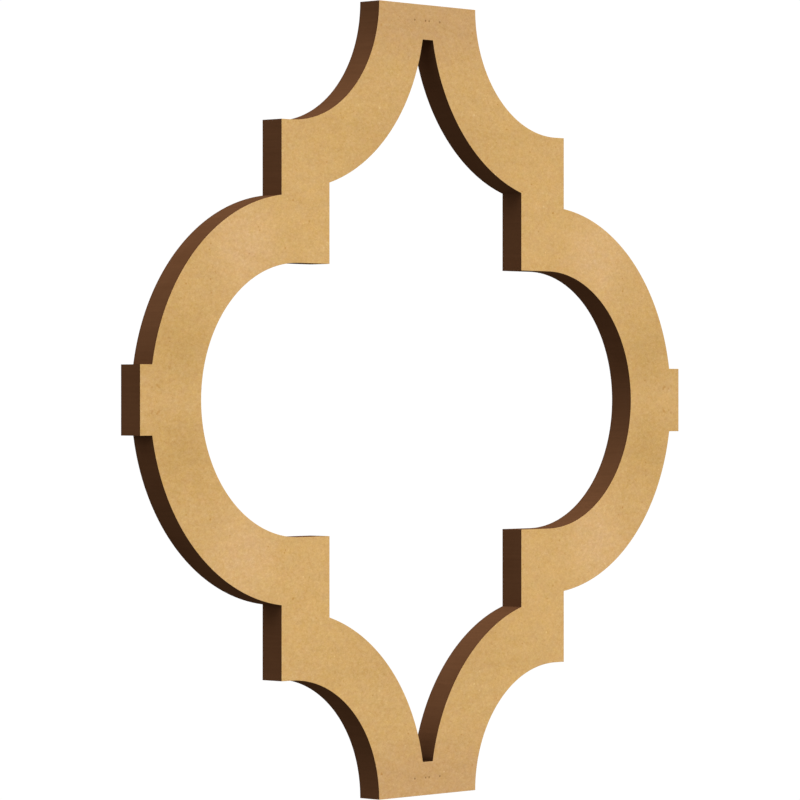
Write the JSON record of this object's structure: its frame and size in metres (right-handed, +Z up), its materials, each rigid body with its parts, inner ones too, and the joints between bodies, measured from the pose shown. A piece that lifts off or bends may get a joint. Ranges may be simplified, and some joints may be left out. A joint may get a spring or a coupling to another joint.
{
  "type": "fretwork wall panel",
  "caption": "Flat wooden fretwork panel cut to an open quatrefoil lattice outline, fixed flat on a wall or butted to like panels to make a pierced screen.",
  "frame": {"origin": "on the flat back, on the centre line, in the middle of the board left above the top slot, 6.35 mm below the top edge", "axes": "+Z up, +X to the right as seen from the front, +Y out of the back into the wall; the front faces -Y"},
  "size_m": [0.289, 0.0095, 0.288],
  "materials": {
    "board": "raw fibreboard: matt kraft-brown faces with fine fibre flecks, and dark brown scorched cut edges (linear base colour about 0.137, 0.060, 0.026)"
  },
  "bodies": {
    "root": {"fretwork_panel": "board"}
  },
  "joints": []
}
